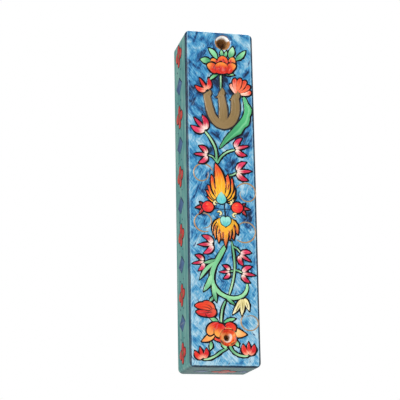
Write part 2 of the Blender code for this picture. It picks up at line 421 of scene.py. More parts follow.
def coat_surface():
    """The whole coat as one grid mesh: a plain grid between the seams, a ring of quads from each screw
    hole's rim out to its end's outline, a cone and a short sleeve into each hole, and the outline carried
    back over the rounded edge (y = front + r (1 - cos f), out by r sin f), along the sides and round into
    the back's edge."""
    points, faces = [], []

    def add(rows):
        start = sum(len(p) for p in points)
        grid = np.arange(rows.shape[0] * rows.shape[1]).reshape(rows.shape[:2]) + start
        points.append(rows.reshape(-1, 3))
        quads = np.stack([grid[:-1, :-1], grid[1:, :-1], grid[1:, 1:], grid[:-1, 1:]], -1)
        faces.append(quads.reshape(-1, 4))

    def flat(p):
        return np.stack([p[..., 0], np.full(p.shape[:-1], FRONT_Y), p[..., 1]], -1)

    a = half_width + COAT - EDGE_ROUND
    across = np.linspace(-a, a, COLUMNS + 1)
    upward = np.linspace(SEAM_LOW, SEAM_TOP, ROWS + 1)
    x, z = np.meshgrid(across, upward, indexing="ij")
    add(flat(np.stack([x, z], -1)))

    outline, ways = [], []
    for sign, seam, hole in ((1, SEAM_TOP, TOP_HOLE), (-1, SEAM_LOW, LOW_HOLE)):
        around, outwards = cap_outline(sign, seam)
        seam_row = np.stack([sign * across[1:], np.full(COLUMNS, seam)], -1)
        loop = np.concatenate([around[-1:], seam_row, around])
        centre = np.array([hole["x"], hole["z"]])
        way = loop - centre
        way = way / np.linalg.norm(way, axis=1, keepdims=True)
        rim = centre + (hole["head"] - COAT) * way
        spread = np.linspace(0, 1, 10)[:, None, None] ** 1.3
        add(flat(rim[None] + spread * (loop - rim)[None]))
        cone = hole["head"] - hole["bore"]
        steps = [(hole["head"] - COAT - cone * s, cone * s) for s in np.linspace(0, 1, 5)]
        steps += [(hole["bore"] - COAT, cone + hole["wet"] * s) for s in (0.4, 0.8, 1.0)]
        steps += [(hole["bore"] + COAT, cone + hole["wet"] * 1.1)]
        radius, deep = np.array(steps)[:, :, None].transpose(1, 0, 2)
        sleeve_x, sleeve_z = centre[0] + radius * way[:, 0], centre[1] + radius * way[:, 1]
        add(np.stack([sleeve_x, FRONT_Y + deep + 0 * sleeve_x, sleeve_z], -1)[:, ::-1])
        outline.append(around)
        ways.append(outwards)
        outline.append(np.stack([np.full(ROWS, -sign * a), upward[::-sign][1:]], -1))
        ways.append(np.tile([-float(sign), 0.0], (ROWS, 1)))
    outline = np.concatenate(outline + [outline[0][:1]])
    ways = np.concatenate(ways + [ways[0][:1]])

    at_top = outline[:, 1] > half_height - EDGE_ROUND - 0.2 * MM
    notched = at_top & (np.abs(outline[:, 0]) <= GROOVE_HALF + 0.01 * MM)
    edge_y = FRONT_Y + EDGE_ROUND
    back_y = np.where(notched, -GROOVE_DEEP, -EDGE_ROUND)
    rows = []
    for turn in np.radians(np.linspace(0, 90, 7)):
        depth = EDGE_ROUND * (1 - math.cos(turn))
        rows.append((outline + EDGE_ROUND * math.sin(turn) * ways, np.full(len(outline), FRONT_Y + depth)))
    for part in np.linspace(0, 1, 14)[1:]:
        rows.append((outline + EDGE_ROUND * ways, edge_y + part * (back_y - edge_y)))
    for turn in np.radians(np.linspace(0, 80, 5))[1:]:
        out = EDGE_ROUND * (1 - (1 - math.cos(turn)) * ~notched)
        rows.append((outline + out[:, None] * ways, back_y + EDGE_ROUND * math.sin(turn) * ~notched))
    last, last_y = rows[-1]
    rows.append((last - 0.25 * MM * ways, last_y - 0.04 * MM))
    add(np.array([np.stack([p[:, 0], y, p[:, 1]], -1) for p, y in rows]))
    return np.concatenate(points), np.concatenate(faces)


def hand_sanded(points):
    """Moves the front's points by up to 0.02 mm front to back in slow waves over x and z, as hand sanding
    does."""
    x, z = points[:, 0] / MM, points[:, 2] / MM
    wave = np.sin(0.55 * x + 0.21 * z) + np.sin(0.31 * z - 0.4 * x + 1.3) + 0.5 * np.sin(0.9 * z + 0.8)
    moved = points.copy()
    moved[:, 1] += 0.008 * MM * wave * (points[:, 1] < FRONT_Y + 0.5 * EDGE_ROUND)
    return moved


def weld(piece):
    """Joins the points of neighbouring grids that share a seam."""
    joined = bmesh.new()
    joined.from_mesh(piece.data)
    bmesh.ops.remove_doubles(joined, verts=joined.verts, dist=1e-6)
    joined.to_mesh(piece.data)
    joined.free()


coat_points, coat_faces = coat_surface()
ground = place_mesh("painted_ground", hand_sanded(coat_points), coat_faces.tolist())
weld(ground)
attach(ground, "case")


def brush_group():
    """Brushwork as a node group: two noises, each stretched along its own slant, take turns under a slow
    noise, so that strokes change direction from place to place. Stroke is a stroke's width in
    millimetres."""
    group, given, out = new_group("brushwork", ["Vector", "Stroke"], ["Stroke Value", "Bristle"])
    size = node(group, "ShaderNodeVectorMath", operation="SCALE")
    group.links.new(given["Vector"], size.inputs[0])
    group.links.new(sums(group, "DIVIDE", 1 / MM, given["Stroke"]), size.inputs["Scale"])
    which = between(group, noise(group, size.outputs[0], 0.16, 1.0), 0.44, 0.56)
    for name, stretch, texture in (
        ("Stroke Value", 3.0, {"scale": 0.55, "detail": 2.0, "Roughness": 0.5}),
        ("Bristle", 5.6, {"scale": 2.6, "detail": 3.0, "Roughness": 0.6}),
    ):
        layers = []
        for slant, seed in ((24, 0.0), (-38, 7.3)):
            lean = node(group, "ShaderNodeMapping", vector_type="TEXTURE", Scale=(1.0, 1.0, stretch))
            lean.inputs["Rotation"].default_value = (0, math.radians(slant), 0)
            lean.inputs["Location"].default_value = (seed, seed, seed)
            group.links.new(size.outputs[0], lean.inputs["Vector"])
            layers.append(noise(group, lean.outputs[0], **texture))
        swapped = sums(group, "MULTIPLY", which, sums(group, "SUBTRACT", layers[1], layers[0]))
        group.links.new(sums(group, "ADD", layers[0], swapped), out[name])
    return group


BRUSHWORK = brush_group()


def brushed(tree, where, stroke):
    """One use of the brushwork on a vector, as its stroke value and its bristle marks."""
    made = node(tree, "ShaderNodeGroup", node_tree=BRUSHWORK)
    made.inputs["Stroke"].default_value = stroke
    tree.links.new(where, made.inputs["Vector"])
    return made.outputs["Stroke Value"], made.outputs["Bristle"]


ground_paint, tree, shader = blank_material("ground_paint", 0.45, 1.0)
shader.inputs["Specular IOR Level"].default_value = 0.05
calc, step, over = partial(sums, tree), partial(between, tree), partial(mix, tree)
where = own_place(tree)
px, py, pz = split(tree, where)
patch, bristle = brushed(tree, where, 2.1)
small, hair = brushed(tree, where, 1.0)
weather = noise(tree, where, 70.0, 1.0)
mottle = noise(tree, where, 240.0, 3.0, Distortion=0.6)

# How pale the front's blue is: less varied and paler towards the foot, and a little paler at the head
low_pale = step(pz, 45 * MM, -60 * MM)
MEAN_VALUE = 1.475
value = calc("MULTIPLY_ADD", patch, 0.95, calc("MULTIPLY", small, 0.65))
value = calc("MULTIPLY_ADD", weather, 0.55, value)
value = calc("MULTIPLY_ADD", mottle, 0.8, value)
hairy = calc("MULTIPLY_ADD", low_pale, 0.55, 0.5)
value = calc("MULTIPLY_ADD", calc("SUBTRACT", hair, 0.5), hairy, value)
value = calc("MULTIPLY_ADD", calc("SUBTRACT", bristle, 0.5), calc("MULTIPLY", hairy, 0.6), value)
contrast = calc("MULTIPLY_ADD", low_pale, -0.5, 1.75)
value = calc("MULTIPLY", calc("SUBTRACT", value, MEAN_VALUE), contrast)
value = calc("MULTIPLY_ADD", low_pale, 0.34, value)
value = calc("MULTIPLY_ADD", step(pz, 44 * MM, 58 * MM), 0.1, value)
NAVY_TO_SKY = (
    (0.0, "14243f"), (0.15, "1a3f6a"), (0.3, "256394"), (0.46, "3680ac"), (0.62, "5296ba"), (0.8, "7ba9c2"),
    (1.0, "a2c3d2"),
)
blues = ramp(tree, calc("ADD", value, 0.40), NAVY_TO_SKY)
blues = over(step(bristle, 0.61, 0.72), blues, tone("1f4570"))
scratched = calc("MULTIPLY", step(hair, 0.52, 0.74), calc("MULTIPLY_ADD", low_pale, 0.3, 0.22))
blues = over(scratched, blues, tone("a9cbdb"))

# A dark line along the front's sides and foot, where the blue and the teal meet, and inside it a pale line
# that is a painted highlight of the glossy rounded edge
BLUE_HALF, BLUE_FOOT = 13.3 * MM, 67.6 * MM
past_foot = calc("SUBTRACT", calc("MULTIPLY", pz, -1.0), BLUE_FOOT)
past_side = calc("SUBTRACT", calc("ABSOLUTE", px), BLUE_HALF)
to_edge = calc("MULTIPLY_ADD", small, 0.5 * MM, calc("MAXIMUM", past_side, past_foot))
# Painted highlight: a pale band just inside the dark line, where the rounded edge catches the light
painted_edge_highlight = calc("MULTIPLY", step(to_edge, -0.35 * MM, -0.15 * MM), step(to_edge, 0.15 * MM, 0.0))
blues = over(calc("MULTIPLY", painted_edge_highlight, 0.45), blues, tone("9cc6d8"))
near_front = step(py, cad_low.y + 1.0 * MM, cad_low.y + 0.5 * MM)
edge_line = calc("MULTIPLY", step(to_edge, 0.1 * MM, 0.35 * MM), near_front)

# The sides' teal, in long strokes up the case, darker on the underside as painted shade
side_where = node(tree, "ShaderNodeMapping", Scale=(1.0, 1.0, 0.35))
tree.links.new(where, side_where.inputs["Vector"])
side_patch, side_hair = brushed(tree, side_where.outputs[0], 1.8)
teals = ramp(tree, side_patch, ((0.25, "3a7373"), (0.45, "558f8b"), (0.6, "709f96"), (0.8, "8db0a4")))
teals = over(step(side_hair, 0.52, 0.75), teals, tone("528e90"))
# Painted shade: the underside, which faces down away from the lamps, is mixed towards a dark teal
under = step(pz, 0.9 * MM - half_height, 0.2 * MM - half_height)
teals = over(calc("MULTIPLY", under, 0.85), teals, tone("21585c"))
on_side = step(calc("MULTIPLY_ADD", patch, 1.6 * MM, py), cad_low.y + 1.1 * MM, cad_low.y + 1.9 * MM)
painted = over(calc("MULTIPLY", edge_line, 0.9), over(on_side, blues, teals), tone("0c1626"))


def hole_reach(hole):
    """The distance from a hole's axis, the same with a ragged edge, and the height above the axis."""
    dx = calc("SUBTRACT", px, hole["x"])
    dz = calc("SUBTRACT", pz, hole["z"])
    reach = calc("SQRT", calc("ADD", calc("POWER", dx, 2.0), calc("POWER", dz, 2.0)))
    return reach, calc("ADD", reach, ragged), dz


# The screw head has worn the upper countersink to the wood below, with a painted white highlight on its upper
# wall, and left a dark rim above
ragged = calc("MULTIPLY", calc("SUBTRACT", small, 0.5), 1.6 * MM)
reach, rough_reach, above = hole_reach(TOP_HOLE)
head, bore = TOP_HOLE["head"], TOP_HOLE["bore"]
worn = step(rough_reach, head - 0.1 * MM, head - 0.4 * MM)
painted = over(worn, painted, tone("a2703f"))
# Painted highlight: a white patch on the countersink's upper wall near the bore stands in for the glint of
# its lacquer
painted_glint_top = calc("MULTIPLY", step(above, 0.7 * MM, 1.3 * MM), worn)
painted_glint_top = calc("MULTIPLY", painted_glint_top, step(reach, bore + 0.75 * MM, bore + 0.5 * MM))
painted = over(painted_glint_top, painted, tone("f2f1ee"))
blue_rim = calc("MULTIPLY", step(above, 0.9 * MM, 1.7 * MM), step(reach, 2.95 * MM, 3.1 * MM))
blue_rim = calc("MULTIPLY", blue_rim, step(rough_reach, 4.6 * MM, 4.0 * MM))
painted = over(calc("MULTIPLY", blue_rim, 0.6), painted, tone("24436c"))

# The red and orange of the bloom run into the lower countersink, over a darker mottled band at its lower lip,
# and a pale painted highlight lies beside its bore
reach, rough_reach, above = hole_reach(LOW_HOLE)
head, bore = LOW_HOLE["head"], LOW_HOLE["bore"]
dyed = step(rough_reach, head + 0.6 * MM, head + 0.3 * MM)
flecks = calc("MULTIPLY_ADD", small, 0.5, calc("MULTIPLY", mottle, 0.5))
rust = ramp(tree, flecks, ((0.4, "b82c18"), (0.48, "dd672b"), (0.56, "f0a75e")))
red_top = step(calc("MULTIPLY_ADD", small, 1.5 * MM, above), 1.5 * MM, 3.0 * MM)
painted = over(dyed, painted, over(calc("MULTIPLY", red_top, 0.8), rust, tone("cf2c1a")))
# A darker mottled band along the lower lip of the countersink
dark_lower_lip = calc("MULTIPLY", step(rough_reach, head - 0.5 * MM, head - 0.3 * MM), dyed)
dark_lower_lip = calc("MULTIPLY", dark_lower_lip, step(above, -0.6 * MM, -1.6 * MM))
dark_lower_lip = calc("MULTIPLY", dark_lower_lip, step(mottle, 0.44, 0.5))
painted = over(calc("MULTIPLY", dark_lower_lip, 0.85), painted, tone("2a1414"))
# Painted highlight: a pale grey patch at the lower right of the bore stands in for the glint of the lacquer
painted_glint_low = step(rough_reach, bore + 0.7 * MM, bore + 0.35 * MM)
painted_glint_low = calc("MULTIPLY", painted_glint_low, step(calc("SUBTRACT", above, px), 0.3 * MM, -1.6 * MM))
painted = over(calc("MULTIPLY", painted_glint_low, 0.85), painted, tone("d9d0c6"))
tree.links.new(painted, shader.inputs["Base Color"])

# The lacquer is thin on the sides, along the dark line and in the lower countersink
dull = calc("MULTIPLY", calc("MAXIMUM", dyed, calc("MAXIMUM", on_side, edge_line)), -0.78)
tree.links.new(calc("ADD", dull, 1.0), shader.inputs["Coat Weight"])
relief = calc("ADD", calc("MULTIPLY", bristle, 0.6), calc("MULTIPLY", hair, 0.4))
bumped(tree, shader, relief, 0.05 * MM)
rough = node(tree, "ShaderNodeMapRange")
rough.inputs["To Min"].default_value = 0.35
rough.inputs["To Max"].default_value = 0.6
tree.links.new(hair, rough.inputs["Value"])
tree.links.new(rough.outputs["Result"], shader.inputs["Roughness"])
ground.data.materials.append(ground_paint)


# The stems and leaves are painted first, in wet acrylic over the dry ground. A loaded brush leaves a low
# ridge of green along each one, and its black ink line, which is drawn under it here, shows all round it
# and at its ends.
FRONT_PAGE = ((0, FRONT_Y, 0), (1, 0, 0), (0, 0, 1))
# Every size on a page is in millimetres, x to the right and z up from the middle of the case
INK = "0c0e14"
INK_WIDTH = 0.58
INK_LEAN = np.array([0.10, -0.04])  # the line is a little heavier on the lower right
PAINT_BODY = 0.045
DESIGN_HANG = 2.8  # how far the painting hangs below an even spacing at the middle of the case


def line_through(places, steps=26):
    """A smooth line through places on a page: Hermite cubics over the chord length, whose slope at each
    place is the mean slope there, sampled at cosine-spaced parts v of its length. Gives v and the
    points."""
    places = np.array(places, float)
    reach = np.concatenate([[0], np.cumsum(np.linalg.norm(np.diff(places, axis=0), axis=1))])
    slope = np.gradient(places, reach, axis=0)
    v = 0.5 - 0.5 * np.cos(np.linspace(0.11, math.pi - 0.11, steps))
    at = v * reach[-1]
    k = np.clip(np.searchsorted(reach, at, side="right") - 1, 0, len(reach) - 2)
    gap = (reach[k + 1] - reach[k])[:, None]
    w = (at[:, None] - reach[k][:, None]) / gap
    held = places[k] * (1 + 2 * w) * (1 - w) ** 2 + places[k + 1] * w * w * (3 - 2 * w)
    return v, held + gap * (slope[k] * w * (1 - w) ** 2 - slope[k + 1] * w * w * (1 - w))


def bowed(start, end, bow=0.0, steps=26):
    """The straight line from start to end, pushed to its left by bow at its middle: 4 v (1 - v) bow."""
    start, end = np.array(start, float), np.array(end, float)
    way = end - start
    left = np.array([-way[1], way[0]]) / np.linalg.norm(way)
    return line_through([start, start + way / 2 + bow * left, end], steps)


def swell(v, root, tip):
    """A width that rises as v ** root and falls as (1 - v) ** tip, scaled so that its widest place is 1."""
    widest = root / (root + tip)
    return v**root * (1 - v) ** tip / (widest**root * (1 - widest) ** tip)


def directions(points):
    """The unit directions along a line and to its left, at each of its points."""
    along = np.gradient(points, axis=0)
    along /= np.linalg.norm(along, axis=1, keepdims=True)
    return along, np.stack([-along[:, 1], along[:, 0]], -1)


def lay_stroke(strokes, line, half, level, root, tip, life=1.0, around=12, body=PAINT_BODY):
    """One ridge of paint: a flat closed tube along the line, whose section at angle s is half |cos s| **
    0.6 across and level + body |sin s| ** 0.4 high, with their signs. It keeps its root and tip colours,
    its life, which is how streaky and glossy it is, and its own u across and v along."""
    v, points = line
    left = directions(points)[1]
    s = np.arange(around) * 2 * math.pi / around
    c, h = (np.sign(f) * np.abs(f) ** power for f, power in ((np.cos(s), 0.6), (np.sin(s), 0.4)))
    half = np.broadcast_to(half, v.shape)
    flat = points[:, None] + (half[:, None] * c)[..., None] * left[:, None]
    high = np.broadcast_to(level + body * h, flat.shape[:2])
    spots = np.concatenate([flat, high[..., None]], -1).reshape(-1, 3)
    uv = np.stack(np.broadcast_arrays((c + 1) / 2, v[:, None]), -1).reshape(-1, 2)
    grid = np.arange(len(v) * around).reshape(len(v), around)
    turned = np.roll(grid, -1, axis=1)
    quads = np.stack([grid[:-1], turned[:-1], turned[1:], grid[1:]], -1).reshape(-1, 4)
    caps = [grid[0][::-1].tolist(), grid[-1].tolist()]
    strokes.append((spots, uv, quads, caps, tone(root)[:3], tone(tip)[:3], life))


def outline(strokes, line, half, level, width=INK_WIDTH, from_root=0.0):
    """A black line round a stroke: the same stroke, wider by width, and longer by 1.25 of it at both ends, as
    (2 v - 1) ** 7. From_root leaves the line out over that first part of the stroke."""
    v, points = line
    along = directions(points)[0]
    unsteady = 1 + 0.22 * np.sin(9 * v + 3 * points[:, 0])
    grown = width * unsteady * np.minimum(1, swell(v, 0.4, 0.4) * 1.1)
    if from_root:
        grown = grown * np.clip((v - from_root) / 0.2, 0, 1) - 0.06 * (v < from_root)
    ends = points + along * (1.25 * width * (2 * v - 1) ** 7)[:, None] + INK_LEAN * min(1, width / INK_WIDTH)
    lay_stroke(strokes, (v, ends), np.maximum(half + grown, 0.02), level, INK, INK, 0.0)


def inked(strokes, line, half, level, root, tip, lift=0.02, width=INK_WIDTH, **paint):
    """A stroke on its own black line, which lies lower by lift."""
    outline(strokes, line, half, level, width)
    lay_stroke(strokes, line, half, level + lift, root, tip, **paint)


def paint_petals(strokes, petals, level, colours, shape=(0.7, 0.55), width=INK_WIDTH, inner=0.11):
    """A flower of petals (root x, z, tip x, z, width, bow): one outline round them all is laid first, and
    then the petals one over another, each on a thin line of its own that fades out towards its root."""
    lines = [bowed(p[:2], p[2:4], p[5]) for p in petals]
    halves = [p[4] / 2 * swell(line[0], *shape) for p, line in zip(petals, lines)]
    for line, half in zip(lines, halves):
        outline(strokes, line, half, level, width)
    for i, (line, half) in enumerate(zip(lines, halves)):
        lift = level + 0.022 + 0.014 * i
        outline(strokes, line, half, lift, inner, from_root=0.3)
        lay_stroke(strokes, line, half, lift + 0.007, *colours[i % len(colours)])


def fine_lines(strokes, rows, level, root, tip, shape, steps=14):
    """Plain strokes (places, width) with no line of their own, such as the dark marks inside a flower."""
    for places, wide in rows:
        line = line_through(places, steps)
        lay_stroke(strokes, line, wide / 2 * swell(line[0], *shape), level, root, tip)


def paint_stems(strokes, stems, level, root, tip):
    """Stems (places, width, taper): each is an even stroke that thins by taper towards its end."""
    for places, wide, taper in stems:
        line = line_through(places)
        half = wide / 2 * (1 - taper * line[0]) * np.minimum(1, 1.3 * swell(line[0], 0.25, 0.25))
        inked(strokes, line, half, level, root, tip)


def off_the_lip(spots, hole):
    """Keeps strokes out of a screw hole: a spot nearer its axis than the lip is drawn straight out to the
    lip."""
    x, z, head = (hole[key] / MM for key in ("x", "z", "head"))
    off = spots[:, :2] - [x, z]
    r = np.maximum(np.linalg.norm(off, axis=1, keepdims=True), 1e-6)
    spots[:, :2] = [x, z] + off * np.maximum(r, head + 0.03 + 0.5 * r / head) / r


def painted_piece(name, strokes, page, material):
    """Puts strokes on their page, which is a place and two directions of the case, as one mesh that keeps
    each stroke's colours and its u and v. On an upright page a spot hangs lower by DESIGN_HANG (1 - (z /
    half the height) ** 2)."""
    corner, right, up = (np.array(part, float) for part in page)
    out = np.cross(right, up)
    hang = DESIGN_HANG * abs(up[2])
    points, uvs, faces, roots, tips, start = [], [], [], [], [], 0
    for spots, uv, quads, caps, root, tip, life in strokes:
        placed = spots.copy()
        placed[:, 1] -= hang * (1 - (spots[:, 1] * MM / half_height) ** 2)
        if page is FRONT_PAGE:
            off_the_lip(placed, LOW_HOLE)
        points.append(corner + MM * (placed[:, :1] * right + placed[:, 1:2] * up + placed[:, 2:] * out))
        uvs.append(uv)
        faces += (quads + start).tolist() + [[i + start for i in cap] for cap in caps]
        roots.append(np.tile([*root, life], (len(spots), 1)))
        tips.append(np.tile([*tip, 1.0], (len(spots), 1)))
        start += len(spots)
    piece = place_mesh(name, np.concatenate(points), faces)
    mesh = piece.data
    for label, colours in (("root", roots), ("tip", tips)):
        layer = mesh.color_attributes.new(name=label, type="FLOAT_COLOR", domain="POINT")
        layer.data.foreach_set("color", np.concatenate(colours).astype(np.float32).ravel())
    corners_at = np.empty(len(mesh.loops), np.int32)
    mesh.loops.foreach_get("vertex_index", corners_at)
    layer = mesh.uv_layers.new(name="stroke")
    layer.data.foreach_set("uv", np.concatenate(uvs)[corners_at].astype(np.float32).ravel())
    mesh.materials.append(material)
    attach(piece, "case")


def stroke_paint_group():
    """Acrylic from one brush as a node group. The colour turns from root to tip along v, with a ragged
    change. Hairs of the brush are a noise that is stretched along v: they darken, and let paler paint
    through."""
    group, given, out = new_group("stroke_paint", ["Turn", "Streak"], ["Color", "Height", "Life"])
    calc, step, over = partial(sums, group), partial(between, group), partial(mix, group)
    uv = node(group, "ShaderNodeUVMap", uv_map="stroke").outputs[0]
    across, along, _ = split(group, uv)
    drift = node(group, "ShaderNodeMapping", Scale=(90.0, 90.0, 90.0))
    group.links.new(own_place(group), drift.inputs["Vector"])
    stretched = node(group, "ShaderNodeMapping", Scale=(7.0, 1.1, 1.0))
    group.links.new(uv, stretched.inputs["Vector"])
    place = node(group, "ShaderNodeVectorMath", operation="ADD")
    group.links.new(stretched.outputs[0], place.inputs[0])
    group.links.new(drift.outputs[0], place.inputs[1])
    hairs = noise(group, place.outputs[0], 1.5, 4.0, Roughness=0.62)
    broad = noise(group, place.outputs[0], 0.7, 1.0)
    root = node(group, "ShaderNodeAttribute", attribute_type="GEOMETRY", attribute_name="root")
    tip = node(group, "ShaderNodeAttribute", attribute_type="GEOMETRY", attribute_name="tip")
    life = root.outputs["Alpha"]
    ragged = calc("MULTIPLY_ADD", hairs, 0.9, calc("ADD", along, -0.45))
    turn = step(calc("SUBTRACT", ragged, given["Turn"]), -0.28, 0.28)
    plain = over(turn, root.outputs["Color"], tip.outputs["Color"])
    streak = calc("MULTIPLY", life, given["Streak"])
    dark = calc("MULTIPLY", step(hairs, 0.54, 0.72), streak)
    pale = calc("MULTIPLY", step(hairs, 0.46, 0.3), streak)
    shaded = over(dark, plain, (0.42, 0.38, 0.36, 1.0), "MULTIPLY")
    lit = over(calc("MULTIPLY", pale, 0.26), shaded, (0.9, 0.86, 0.74, 1.0))
    rim = step(calc("ABSOLUTE", calc("SUBTRACT", across, 0.5)), 0.36, 0.5)
    rimmed = over(calc("MULTIPLY", rim, calc("MULTIPLY", life, 0.5)), lit, (0.5, 0.42, 0.4, 1.0), "MULTIPLY")
    thin = calc("MULTIPLY", step(broad, 0.55, 0.75), 0.25)
    group.links.new(over(thin, rimmed, (0.6, 0.6, 0.62, 1.0), "MULTIPLY"), out["Color"])
    group.links.new(hairs, out["Height"])
    group.links.new(life, out["Life"])
    return group


STROKE_PAINT = stroke_paint_group()


def stroke_base(name, roughness, gloss, turn, streak):
    """A lacquered material with the strokes' own paint in it, whose colour is still to be linked."""
    made, tree, shader = blank_material(name, roughness, gloss)
    paint = node(tree, "ShaderNodeGroup", node_tree=STROKE_PAINT)
    paint.inputs["Turn"].default_value = turn
    paint.inputs["Streak"].default_value = streak
    bumped(tree, shader, paint.outputs["Height"], 0.03 * MM)
    return made, tree, shader, paint.outputs


def stroke_paint(name, turn, streak, gloss=1.0):
    """A lacquered acrylic in a stroke's own colours. The lacquer sinks into the ink and leaves it duller."""
    made, tree, shader, paint = stroke_base(name, 0.45, gloss, turn, streak)
    shader.inputs["Specular IOR Level"].default_value = 0.08
    tree.links.new(paint["Color"], shader.inputs["Base Color"])
    coat = sums(tree, "MULTIPLY_ADD", paint["Life"], 0.7 * gloss, 0.3 * gloss)
    tree.links.new(coat, shader.inputs["Coat Weight"])
    return made


stems = []
paint_stems(
    stems,
    [
        ([(-2.1, 15.0), (-2.0, 18.2), (-2.3, 21.0), (-4.2, 25.0), (-6.8, 28.5)], 0.85, 0.1),
        ([(-2.3, 16.2), (-3.4, 17.8), (-5.9, 18.7)], 0.5, 0.1),
        ([(-1.7, 15.4), (0.0, 18.2), (2.6, 20.2), (5.6, 21.2)], 0.75, 0.2),
        ([(2.4, 10.5), (4.4, 10.9), (6.2, 12.0)], 0.6, 0.2),
        ([(0.4, 45.0), (0.4, 48.5), (0.5, 52.2)], 0.65, 0.0),
        ([(3.4, -16.2), (4.2, -22.0), (4.3, -28.0), (3.3, -33.5), (1.9, -38.2)], 0.7, 0.0),
        ([(0.4, -40.7), (-0.7, -43.4), (-1.3, -46.5), (-1.5, -50.2)], 0.7, 0.0),
        ([(4.0, -18.3), (5.6, -19.2), (6.8, -20.7)], 0.6, 0.2),
        ([(4.7, -27.9), (6.0, -28.3), (7.5, -29.0)], 0.7, 0.1),
        ([(3.8, -28.4), (2.9, -28.4), (2.0, -28.6)], 0.6, 0.1),
        ([(0.8, -60.2), (-1.6, -61.7), (-4.2, -63.7), (-6.6, -64.8), (-9.2, -65.0)], 0.9, 0.1),
        ([(1.6, -58.6), (2.7, -61.2), (4.8, -62.9), (7.6, -63.5), (9.9, -62.9)], 1.0, 0.2),
    ],
    0.02,
    "5aa374",
    "a0cf9e",
)
paint_stems(
    stems,
    [([(0.9, -18.0), (-1.7, -22.6), (-4.2, -27.6), (-4.9, -32.0), (-3.0, -36.4), (0.8, -39.0), (4.6, -39.5),
       (7.8, -38.0), (9.2, -35.4), (9.2, -33.4)], 2.0, 0.35)],
    0.05,
    "70bb86",
    "8fd09a",
)
painted_piece("stems", stems, FRONT_PAGE, stroke_paint("stem_paint", 0.5, 0.7))

LEAF_GREEN, LEAF_PALE = "3a9160", "80c48c"
leaves = []
# The big leaf: one wave pushes its spine out and widens it, so only its outer edge is scalloped
v, spine = line_through(
    [(-0.6, 21.6), (2.4, 25.2), (6.6, 29.0), (9.8, 32.6), (11.2, 36.0), (11.1, 39.2), (9.5, 42.6)]
)
scallop = 0.2 * np.sin(34 * v) * (v > 0.4)
half = scallop + np.interp(v, [0, 0.15, 0.4, 0.55, 0.72, 0.85, 1], [0.25, 0.9, 1.75, 1.85, 1.5, 1.35, 0.25])
spine = spine - scallop[:, None] * directions(spine)[1]
inked(leaves, (v, spine), half, 0.06, LEAF_GREEN, "4fae72", lift=0.025, width=0.5)
glint = (v, spine - 0.45 * directions(spine)[1])
lay_stroke(leaves, glint, half * 0.28 * swell(v, 0.8, 0.8), 0.092, "58ae78", "74c08a")
for petals, level, colours in (
    ([(-3.6, 56.5, -7.8, 56.9, 2.4, 0.1)], 0.03, [(LEAF_GREEN, LEAF_PALE)]),
    ([(-0.9, 57.6, -4.3, 61.5, 2.0, -0.3)], 0.03, [("6fc089", "8fd0a0")]),
    ([(1.7, 58.2, 0.9, 61.2, 1.4, 0.2), (2.1, 58.2, 3.0, 60.8, 1.2, -0.2)], 0.03, [(LEAF_GREEN, LEAF_PALE)]),
    ([(4.3, 58.2, 5.7, 62.6, 2.5, -0.2)], 0.03, [("4da06b", "a2d9aa")]),
    ([(6.8, 57.4, 11.0, 61.3, 1.9, -0.2)], 0.03, [("3f9a70", "8bd097")]),
    ([(-0.4, 51.7, -4.4, 48.8, 1.2, -0.2), (0.9, 51.7, 6.0, 51.4, 1.1, 0.1)], 0.03, [("3f9560", LEAF_PALE)]),
    ([(-3.0, -24.4, -9.7, -32.0, 1.5, -0.7)], 0.04, [(LEAF_PALE, "7fc193")]),
    ([(-5.0, -30.0, -8.2, -36.9, 2.0, 0.5)], 0.05, [("8fd09a", "6fb487")]),
    ([(-4.4, -33.6, -3.2, -41.2, 1.7, -0.2)], 0.05, [("93d39c", "58a377")]),
    ([(0.6, -38.7, 4.1, -42.2, 1.2, -0.2)], 0.05, [("7cc48e", "3f8f60")]),
    ([(-3.4, -23.9, -8.0, -25.3, 1.3, 0.2)], 0.03, [("5c9e70", "79b888")]),
    ([(-4.2, -38.8, -6.0, -41.2, 1.1, 0.1)], 0.02, [("4a8f68", "6db085")]),
    ([(-2.8, -49.7, -5.8, -48.0, 1.7, -0.2), (-0.4, -49.7, 4.1, -48.0, 1.5, 0.2)], 0.03,
     [("5aa874", LEAF_PALE)]),
    ([(-5.7, -57.6, -6.0, -61.0, 1.3, 0.2), (-1.6, -57.8, 0.3, -60.6, 1.8, 0.2)], 0.03,
     [("58a06e", "93cf97")]),
    ([(3.6, -57.0, 5.2, -59.6, 1.6, 0.1)], 0.03, [("58a06e", "93cf97")]),
):
    paint_petals(leaves, petals, level, colours, shape=(0.75, 0.8))
painted_piece("leaves", leaves, FRONT_PAGE, stroke_paint("leaf_paint", 0.5, 0.5))


# The letter shin, which every such case bears, is brushed in bronze powder paint: three arms that rise from
# one rounded bowl, each with a slanted head. All its black edges go down first, so that the parts run
# together. The curls are one thin pull of the same paint each, with no ink.
SHIN_LEVEL = 0.10


def shin_part(strokes, line, half, filled):
    """One part of the letter: its black edge first, or its bronze fill."""
    if filled:
        lay_stroke(strokes, line, half, SHIN_LEVEL + 0.035, "94794f", "8a7146", body=0.06)
    else:
        outline(strokes, line, half, SHIN_LEVEL, 0.55)


# Each arm's places, and its half width at parts of its length
SHIN_ARMS = [
    ([(-5.5, 43.6), (-5.4, 42.0), (-5.0, 40.0), (-4.3, 36.9), (-3.2, 34.0), (-1.2, 31.9), (1.6, 31.2),
      (4.3, 32.6), (5.9, 35.6), (6.3, 38.8), (6.2, 41.8), (6.3, 43.6)],
     [(0, 0.5), (0.03, 1.4), (0.15, 1.45), (0.32, 1.55), (0.5, 1.9), (0.7, 1.85), (0.9, 1.7), (0.97, 1.4),
      (1, 0.4)]),
    ([(0.5, 44.2), (0.5, 42.6), (0.8, 40.4), (1.2, 37.4), (1.1, 34.5), (0.7, 32.0)],
     [(0, 0.3), (0.08, 1.2), (0.2, 1.4), (0.5, 1.6), (0.8, 1.8), (1, 1.4)]),
]
